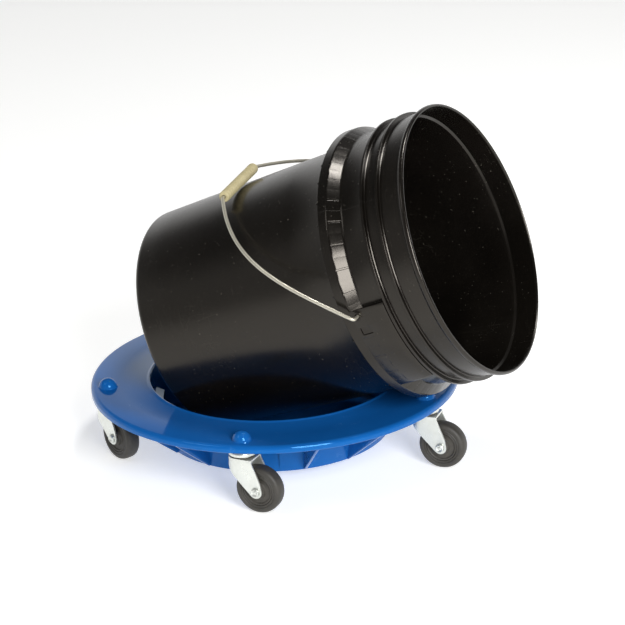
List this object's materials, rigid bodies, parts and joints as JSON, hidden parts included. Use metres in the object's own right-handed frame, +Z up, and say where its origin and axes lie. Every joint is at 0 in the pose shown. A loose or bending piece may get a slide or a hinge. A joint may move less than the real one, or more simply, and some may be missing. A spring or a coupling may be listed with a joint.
{
  "type": "wash bucket on a rolling dolly",
  "caption": "Open utility pail with a wire bail and grip, lying tilted in the well of a round rolling dolly on swivel casters.",
  "frame": {"origin": "on the floor under the middle of the whole part's bounding box, wheels on z = 0", "axes": "+Z up; the bucket's axis lies in the XZ plane and rises towards +X, where the mouth is; +Y completes the right-handed frame"},
  "size_m": [0.5148, 0.426, 0.4128],
  "materials": {
    "bucket_plastic": "black moulded polyethylene, semi-gloss, scuffed",
    "dolly_plastic": "blue moulded plastic, glossy",
    "zinc_plate": "bright zinc plate, slightly dulled",
    "cage_steel": "greased dark steel",
    "wire_steel": "galvanised wire, dull",
    "grip_plastic": "ivory moulded plastic, ribbed",
    "hub_plastic": "dark grey moulded plastic",
    "tread_rubber": "dark grey hard tread, dusty"
  },
  "bodies": {
    "dolly": {"dolly_base": "dolly_plastic", "caster_1_stem": "zinc_plate", "caster_1_ring": "cage_steel", "caster_1_cup": "zinc_plate", "caster_2_stem": "zinc_plate", "caster_2_ring": "cage_steel", "caster_2_cup": "zinc_plate", "caster_3_stem": "zinc_plate", "caster_3_ring": "cage_steel", "caster_3_cup": "zinc_plate", "caster_4_stem": "zinc_plate", "caster_4_ring": "cage_steel", "caster_4_cup": "zinc_plate", "caster_5_stem": "zinc_plate", "caster_5_ring": "cage_steel", "caster_5_cup": "zinc_plate"},
    "bucket": {"bucket_shell": "bucket_plastic"},
    "bail": {"bail_wire": "wire_steel"},
    "grip": {"bail_grip": "grip_plastic"},
    "caster_1_swivel": {"caster_1_fork": "zinc_plate", "caster_1_balls": "cage_steel", "caster_1_axle": "zinc_plate", "caster_1_nut": "zinc_plate"},
    "caster_1_wheel": {"caster_1_hub": "hub_plastic", "caster_1_tyre": "tread_rubber"},
    "caster_2_swivel": {"caster_2_fork": "zinc_plate", "caster_2_balls": "cage_steel", "caster_2_axle": "zinc_plate", "caster_2_nut": "zinc_plate"},
    "caster_2_wheel": {"caster_2_hub": "hub_plastic", "caster_2_tyre": "tread_rubber"},
    "caster_3_swivel": {"caster_3_fork": "zinc_plate", "caster_3_balls": "cage_steel", "caster_3_axle": "zinc_plate", "caster_3_nut": "zinc_plate"},
    "caster_3_wheel": {"caster_3_hub": "hub_plastic", "caster_3_tyre": "tread_rubber"},
    "caster_4_swivel": {"caster_4_fork": "zinc_plate", "caster_4_balls": "cage_steel", "caster_4_axle": "zinc_plate", "caster_4_nut": "zinc_plate"},
    "caster_4_wheel": {"caster_4_hub": "hub_plastic", "caster_4_tyre": "tread_rubber"},
    "caster_5_swivel": {"caster_5_fork": "zinc_plate", "caster_5_balls": "cage_steel", "caster_5_axle": "zinc_plate", "caster_5_nut": "zinc_plate"},
    "caster_5_wheel": {"caster_5_hub": "hub_plastic", "caster_5_tyre": "tread_rubber"}
  },
  "joints": [
    {"name": "bucket_lift", "type": "slide", "parent": "dolly", "child": "bucket", "axis": [0, 0, 1], "range_m": [0, 0.15]},
    {"name": "bail_swing", "type": "hinge", "parent": "bucket", "child": "bail", "pos_m": [0.11996, 0, 0.23853], "axis": [-0.0307, 0.9965, 0.0779], "range_deg": [0, 200]},
    {"name": "grip_roll", "type": "hinge", "parent": "bail", "child": "grip", "pos_m": [-0.07258, -0.01179, 0.31362], "axis": [-0.0307, 0.9965, 0.0779], "continuous": true},
    {"name": "caster_1_turn", "type": "hinge", "parent": "dolly", "child": "caster_1_swivel", "pos_m": [-0.21022, -0.09922, 0.07], "axis": [0, 0, 1], "continuous": true},
    {"name": "caster_1_roll", "type": "hinge", "parent": "caster_1_swivel", "child": "caster_1_wheel", "pos_m": [-0.19256, -0.10861, 0.027], "axis": [0.4695, 0.8829, 0], "continuous": true},
    {"name": "caster_2_turn", "type": "hinge", "parent": "dolly", "child": "caster_2_swivel", "pos_m": [-0.00131, -0.18832, 0.07], "axis": [0, 0, 1], "continuous": true},
    {"name": "caster_2_roll", "type": "hinge", "parent": "caster_2_swivel", "child": "caster_2_wheel", "pos_m": [0.01866, -0.18937, 0.027], "axis": [0.0523, 0.9986, 0], "continuous": true},
    {"name": "caster_3_turn", "type": "hinge", "parent": "dolly", "child": "caster_3_swivel", "pos_m": [0.14799, -0.01717, 0.07], "axis": [0, 0, 1], "continuous": true},
    {"name": "caster_3_roll", "type": "hinge", "parent": "caster_3_swivel", "child": "caster_3_wheel", "pos_m": [0.16798, -0.01648, 0.027], "axis": [-0.0349, 0.9994, 0], "continuous": true},
    {"name": "caster_4_turn", "type": "hinge", "parent": "dolly", "child": "caster_4_swivel", "pos_m": [0.03136, 0.17771, 0.07], "axis": [0, 0, 1], "continuous": true},
    {"name": "caster_4_roll", "type": "hinge", "parent": "caster_4_swivel", "child": "caster_4_wheel", "pos_m": [0.05076, 0.18255, 0.027], "axis": [-0.2419, 0.9703, 0], "continuous": true},
    {"name": "caster_5_turn", "type": "hinge", "parent": "dolly", "child": "caster_5_swivel", "pos_m": [-0.19003, 0.12701, 0.07], "axis": [0, 0, 1], "continuous": true},
    {"name": "caster_5_roll", "type": "hinge", "parent": "caster_5_swivel", "child": "caster_5_wheel", "pos_m": [-0.17047, 0.12285, 0.027], "axis": [0.2079, 0.9781, 0], "continuous": true}
  ]
}
